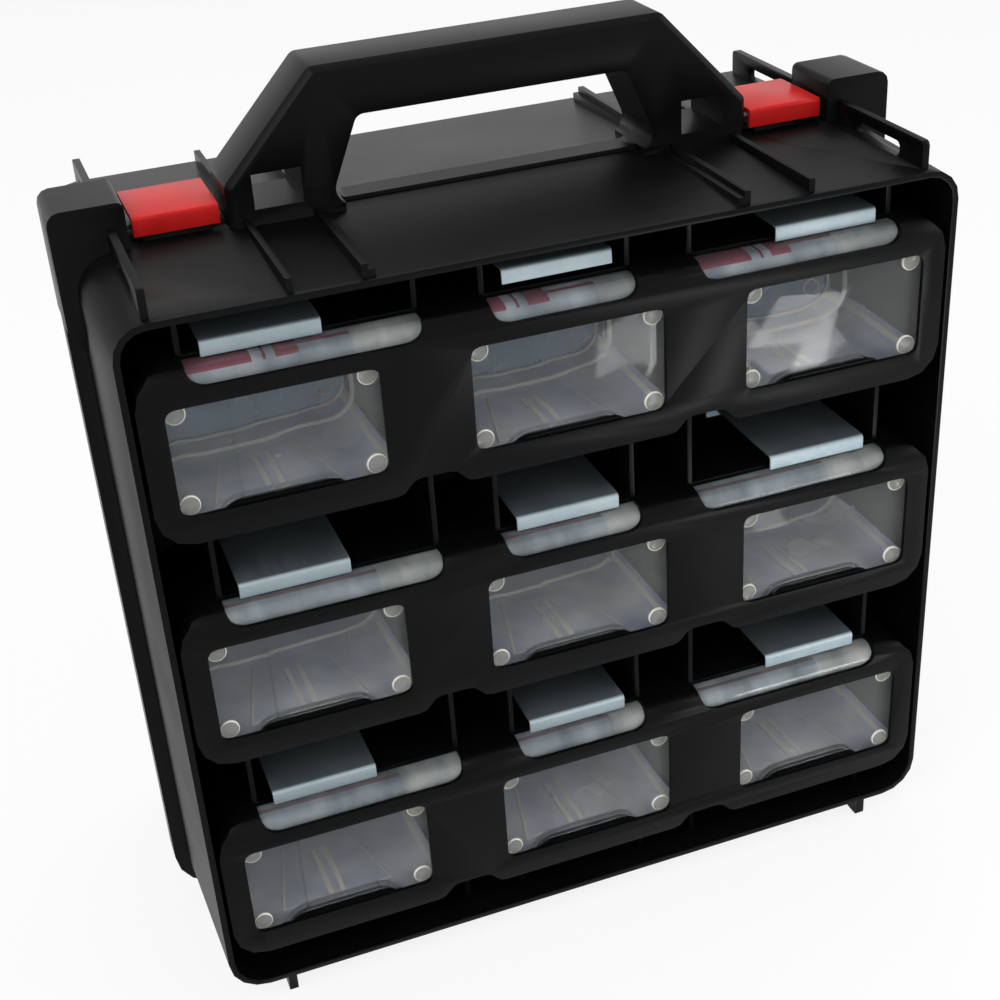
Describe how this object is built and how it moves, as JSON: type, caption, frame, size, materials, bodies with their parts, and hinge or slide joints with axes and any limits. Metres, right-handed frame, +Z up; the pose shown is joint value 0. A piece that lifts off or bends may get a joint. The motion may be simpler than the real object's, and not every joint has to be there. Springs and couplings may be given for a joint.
{
  "type": "assortment case",
  "caption": "Upright two-sided assortment case whose hinged black halves hold clear storage boxes with spring clips, latched at the top beside a carrying handle",
  "frame": {"origin": "middle of the case on the ground under its feet, in the plane where the two halves meet", "axes": "+Z up towards the handle, the front half's windows face -Y, +X to the right seen from the front"},
  "size_m": [0.411, 0.196, 0.4445],
  "materials": {
    "shell": "satin black moulded plastic",
    "latch": "glossy bright red moulded plastic",
    "box": "clear moulded plastic, slightly blue grey",
    "lid": "clear moulded plastic",
    "rail": "clear strip",
    "clip": "satin sheet steel",
    "pin": "plain steel"
  },
  "bodies": {
    "rear_half": {"rear_shell": "shell", "hinge_pins": "pin", "rear_label_rails": "rail", "rear_lids_top": "lid", "rear_box_top_left": "box", "rear_box_top_centre": "box", "rear_box_top_right": "box", "rear_lids_middle": "lid", "rear_box_middle_left": "box", "rear_box_middle_centre": "box", "rear_box_middle_right": "box", "rear_lids_bottom": "lid", "rear_box_bottom_left": "box", "rear_box_bottom_centre": "box", "rear_box_bottom_right": "box"},
    "front_half": {"front_shell": "shell", "front_label_rails": "rail", "front_lids_top": "lid", "front_box_top_left": "box", "front_box_top_centre": "box", "front_box_top_right": "box", "front_lids_middle": "lid", "front_box_middle_left": "box", "front_box_middle_centre": "box", "front_box_middle_right": "box", "front_lids_bottom": "lid", "front_box_bottom_left": "box", "front_box_bottom_centre": "box", "front_box_bottom_right": "box"},
    "latch_left": {"latch_left": "latch"},
    "latch_right": {"latch_right": "latch"},
    "rear_clip_top_left": {"rear_clip_top_left": "clip"},
    "rear_clip_top_centre": {"rear_clip_top_centre": "clip"},
    "rear_clip_top_right": {"rear_clip_top_right": "clip"},
    "rear_clip_middle_left": {"rear_clip_middle_left": "clip"},
    "rear_clip_middle_centre": {"rear_clip_middle_centre": "clip"},
    "rear_clip_middle_right": {"rear_clip_middle_right": "clip"},
    "rear_clip_bottom_left": {"rear_clip_bottom_left": "clip"},
    "rear_clip_bottom_centre": {"rear_clip_bottom_centre": "clip"},
    "rear_clip_bottom_right": {"rear_clip_bottom_right": "clip"},
    "front_clip_top_left": {"front_clip_top_left": "clip"},
    "front_clip_top_centre": {"front_clip_top_centre": "clip"},
    "front_clip_top_right": {"front_clip_top_right": "clip"},
    "front_clip_middle_left": {"front_clip_middle_left": "clip"},
    "front_clip_middle_centre": {"front_clip_middle_centre": "clip"},
    "front_clip_middle_right": {"front_clip_middle_right": "clip"},
    "front_clip_bottom_left": {"front_clip_bottom_left": "clip"},
    "front_clip_bottom_centre": {"front_clip_bottom_centre": "clip"},
    "front_clip_bottom_right": {"front_clip_bottom_right": "clip"}
  },
  "joints": [
    {"name": "case_hinge", "type": "hinge", "parent": "rear_half", "child": "front_half", "pos_m": [0, 0, 0.006], "axis": [1, 0, 0], "range_deg": [0, 160]},
    {"name": "latch_left_hinge", "type": "hinge", "parent": "rear_half", "child": "latch_left", "pos_m": [-0.1502, 0.02, 0.385], "axis": [-1, 0, 0], "range_deg": [0, 90]},
    {"name": "latch_right_hinge", "type": "hinge", "parent": "rear_half", "child": "latch_right", "pos_m": [0.1502, 0.02, 0.385], "axis": [-1, 0, 0], "range_deg": [0, 90]},
    {"name": "front_clip_top_left_hinge", "type": "hinge", "parent": "front_half", "child": "front_clip_top_left", "pos_m": [-0.133, -0.016, 0.35694], "axis": [-1, 0, 0], "range_deg": [0, 8], "stiffness_Nm_per_rad": 0.05},
    {"name": "front_clip_top_centre_hinge", "type": "hinge", "parent": "front_half", "child": "front_clip_top_centre", "pos_m": [0, -0.016, 0.35694], "axis": [-1, 0, 0], "range_deg": [-4.5, 3.5], "stiffness_Nm_per_rad": 0.05},
    {"name": "front_clip_top_right_hinge", "type": "hinge", "parent": "front_half", "child": "front_clip_top_right", "pos_m": [0.133, -0.016, 0.35694], "axis": [-1, 0, 0], "range_deg": [0, 8], "stiffness_Nm_per_rad": 0.05},
    {"name": "front_clip_middle_left_hinge", "type": "hinge", "parent": "front_half", "child": "front_clip_middle_left", "pos_m": [-0.133, -0.016, 0.23794], "axis": [-1, 0, 0], "range_deg": [0, 8], "stiffness_Nm_per_rad": 0.05},
    {"name": "front_clip_middle_centre_hinge", "type": "hinge", "parent": "front_half", "child": "front_clip_middle_centre", "pos_m": [0, -0.016, 0.23794], "axis": [-1, 0, 0], "range_deg": [0, 8], "stiffness_Nm_per_rad": 0.05},
    {"name": "front_clip_middle_right_hinge", "type": "hinge", "parent": "front_half", "child": "front_clip_middle_right", "pos_m": [0.133, -0.016, 0.23794], "axis": [-1, 0, 0], "range_deg": [0, 8], "stiffness_Nm_per_rad": 0.05},
    {"name": "front_clip_bottom_left_hinge", "type": "hinge", "parent": "front_half", "child": "front_clip_bottom_left", "pos_m": [-0.133, -0.016, 0.11894], "axis": [-1, 0, 0], "range_deg": [0, 8], "stiffness_Nm_per_rad": 0.05},
    {"name": "front_clip_bottom_centre_hinge", "type": "hinge", "parent": "front_half", "child": "front_clip_bottom_centre", "pos_m": [0, -0.016, 0.11894], "axis": [-1, 0, 0], "range_deg": [0, 8], "stiffness_Nm_per_rad": 0.05},
    {"name": "front_clip_bottom_right_hinge", "type": "hinge", "parent": "front_half", "child": "front_clip_bottom_right", "pos_m": [0.133, -0.016, 0.11894], "axis": [-1, 0, 0], "range_deg": [0, 8], "stiffness_Nm_per_rad": 0.05},
    {"name": "rear_clip_top_left_hinge", "type": "hinge", "parent": "rear_half", "child": "rear_clip_top_left", "pos_m": [0.133, 0.016, 0.35694], "axis": [1, 0, 0], "range_deg": [0, 8], "stiffness_Nm_per_rad": 0.05},
    {"name": "rear_clip_top_centre_hinge", "type": "hinge", "parent": "rear_half", "child": "rear_clip_top_centre", "pos_m": [0, 0.016, 0.35694], "axis": [1, 0, 0], "range_deg": [0, 8], "stiffness_Nm_per_rad": 0.05},
    {"name": "rear_clip_top_right_hinge", "type": "hinge", "parent": "rear_half", "child": "rear_clip_top_right", "pos_m": [-0.133, 0.016, 0.35694], "axis": [1, 0, 0], "range_deg": [0, 8], "stiffness_Nm_per_rad": 0.05},
    {"name": "rear_clip_middle_left_hinge", "type": "hinge", "parent": "rear_half", "child": "rear_clip_middle_left", "pos_m": [0.133, 0.016, 0.23794], "axis": [1, 0, 0], "range_deg": [0, 8], "stiffness_Nm_per_rad": 0.05},
    {"name": "rear_clip_middle_centre_hinge", "type": "hinge", "parent": "rear_half", "child": "rear_clip_middle_centre", "pos_m": [0, 0.016, 0.23794], "axis": [1, 0, 0], "range_deg": [0, 8], "stiffness_Nm_per_rad": 0.05},
    {"name": "rear_clip_middle_right_hinge", "type": "hinge", "parent": "rear_half", "child": "rear_clip_middle_right", "pos_m": [-0.133, 0.016, 0.23794], "axis": [1, 0, 0], "range_deg": [0, 8], "stiffness_Nm_per_rad": 0.05},
    {"name": "rear_clip_bottom_left_hinge", "type": "hinge", "parent": "rear_half", "child": "rear_clip_bottom_left", "pos_m": [0.133, 0.016, 0.11894], "axis": [1, 0, 0], "range_deg": [0, 8], "stiffness_Nm_per_rad": 0.05},
    {"name": "rear_clip_bottom_centre_hinge", "type": "hinge", "parent": "rear_half", "child": "rear_clip_bottom_centre", "pos_m": [0, 0.016, 0.11894], "axis": [1, 0, 0], "range_deg": [0, 8], "stiffness_Nm_per_rad": 0.05},
    {"name": "rear_clip_bottom_right_hinge", "type": "hinge", "parent": "rear_half", "child": "rear_clip_bottom_right", "pos_m": [-0.133, 0.016, 0.11894], "axis": [1, 0, 0], "range_deg": [0, 8], "stiffness_Nm_per_rad": 0.05}
  ]
}
